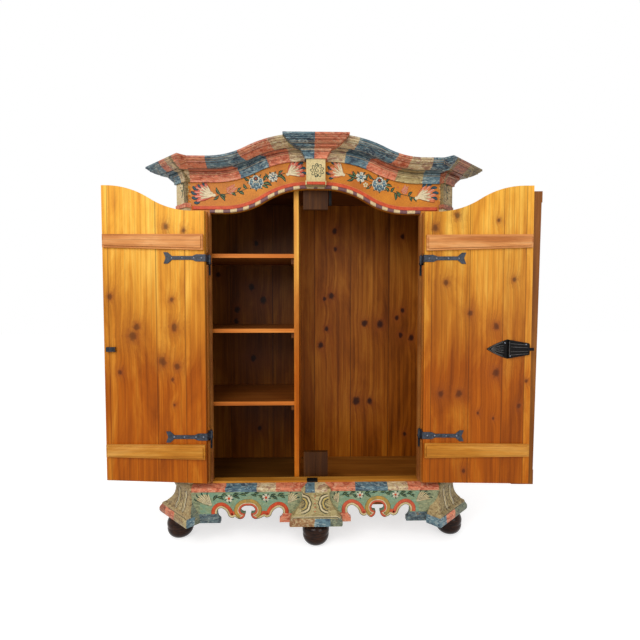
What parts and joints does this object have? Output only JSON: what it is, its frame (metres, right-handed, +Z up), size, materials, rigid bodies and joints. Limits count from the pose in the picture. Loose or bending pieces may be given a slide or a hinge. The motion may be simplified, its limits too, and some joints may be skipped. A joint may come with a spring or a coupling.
{
  "type": "painted cupboard",
  "caption": "Freestanding folk-painted cupboard with canted corners, arched cornice, fretted plinth on bun feet, hinged doors, shelves and a hanging bay.",
  "frame": {"origin": "centre of the front middle foot's sole, on the floor", "axes": "+Z up, +X to the right seen from the front, +Y from the front to the back"},
  "size_m": [2.142, 0.7083, 2.005],
  "materials": {
    "painted_wood": "satin",
    "marbled_paint": "satin",
    "plinth_paint": "satin",
    "bare_pine": "satin",
    "dark_wood": "satin",
    "forged_iron": "satin"
  },
  "bodies": {
    "case": {"arch_bead": "painted_wood", "back_planks": "bare_pine", "base_frame": "bare_pine", "catch_plates": "forged_iron", "corner_pilaster_left": "painted_wood", "corner_pilaster_right": "painted_wood", "cornice_corner_left": "marbled_paint", "cornice_corner_right": "marbled_paint", "cornice_front_left": "marbled_paint", "cornice_front_right": "marbled_paint", "cornice_keystone": "marbled_paint", "divider": "bare_pine", "door_stops": "bare_pine", "floor_board": "bare_pine", "foot_front_centre": "dark_wood", "foot_front_left": "dark_wood", "foot_front_right": "dark_wood", "foot_rear_left": "dark_wood", "foot_rear_right": "dark_wood", "frieze_block_left": "painted_wood", "frieze_block_right": "painted_wood", "frieze_board": "painted_wood", "front_post_left": "painted_wood", "front_post_right": "painted_wood", "front_rail": "bare_pine", "front_skirt_left": "plinth_paint", "front_skirt_right": "plinth_paint", "hinge_pintles": "forged_iron", "keystone_block": "painted_wood", "plinth_block_centre": "plinth_paint", "plinth_block_left": "plinth_paint", "plinth_block_right": "plinth_paint", "plinth_moulding_left": "marbled_paint", "plinth_moulding_right": "marbled_paint", "shelf_1": "bare_pine", "shelf_2": "bare_pine", "shelf_3": "bare_pine", "shelf_cleats": "bare_pine", "side_moulding_left": "marbled_paint", "side_moulding_right": "marbled_paint", "side_panel_left": "painted_wood", "side_panel_right": "painted_wood", "side_skirt_left": "plinth_paint", "side_skirt_right": "plinth_paint", "top_board": "bare_pine"},
    "left_door": {"bolt_keeper": "forged_iron", "door_battens_left": "bare_pine", "door_face_left": "painted_wood", "door_leaf_left": "bare_pine", "door_panels_left": "painted_wood", "door_straps_left": "forged_iron"},
    "right_door": {"door_battens_right": "bare_pine", "door_face_right": "painted_wood", "door_leaf_right": "bare_pine", "door_panels_right": "painted_wood", "door_pilaster": "painted_wood", "door_straps_right": "forged_iron", "keyhole_plate": "forged_iron", "lock_case": "forged_iron"},
    "lock_bolt": {"lock_bolt": "forged_iron"}
  },
  "joints": [
    {"name": "left_door_hinge", "type": "hinge", "parent": "case", "child": "left_door", "pos_m": [-0.521, -0.024, 1.005], "axis": [0, 0, 1], "range_deg": [-2, 182]},
    {"name": "right_door_hinge", "type": "hinge", "parent": "case", "child": "right_door", "pos_m": [0.521, -0.024, 1.005], "axis": [0, 0, 1], "range_deg": [-177, 6]},
    {"name": "lock_bolt_slide", "type": "slide", "parent": "right_door", "child": "lock_bolt", "axis": [0.9986, -0.0523, 0], "range_m": [-0.01, 0.03]}
  ]
}
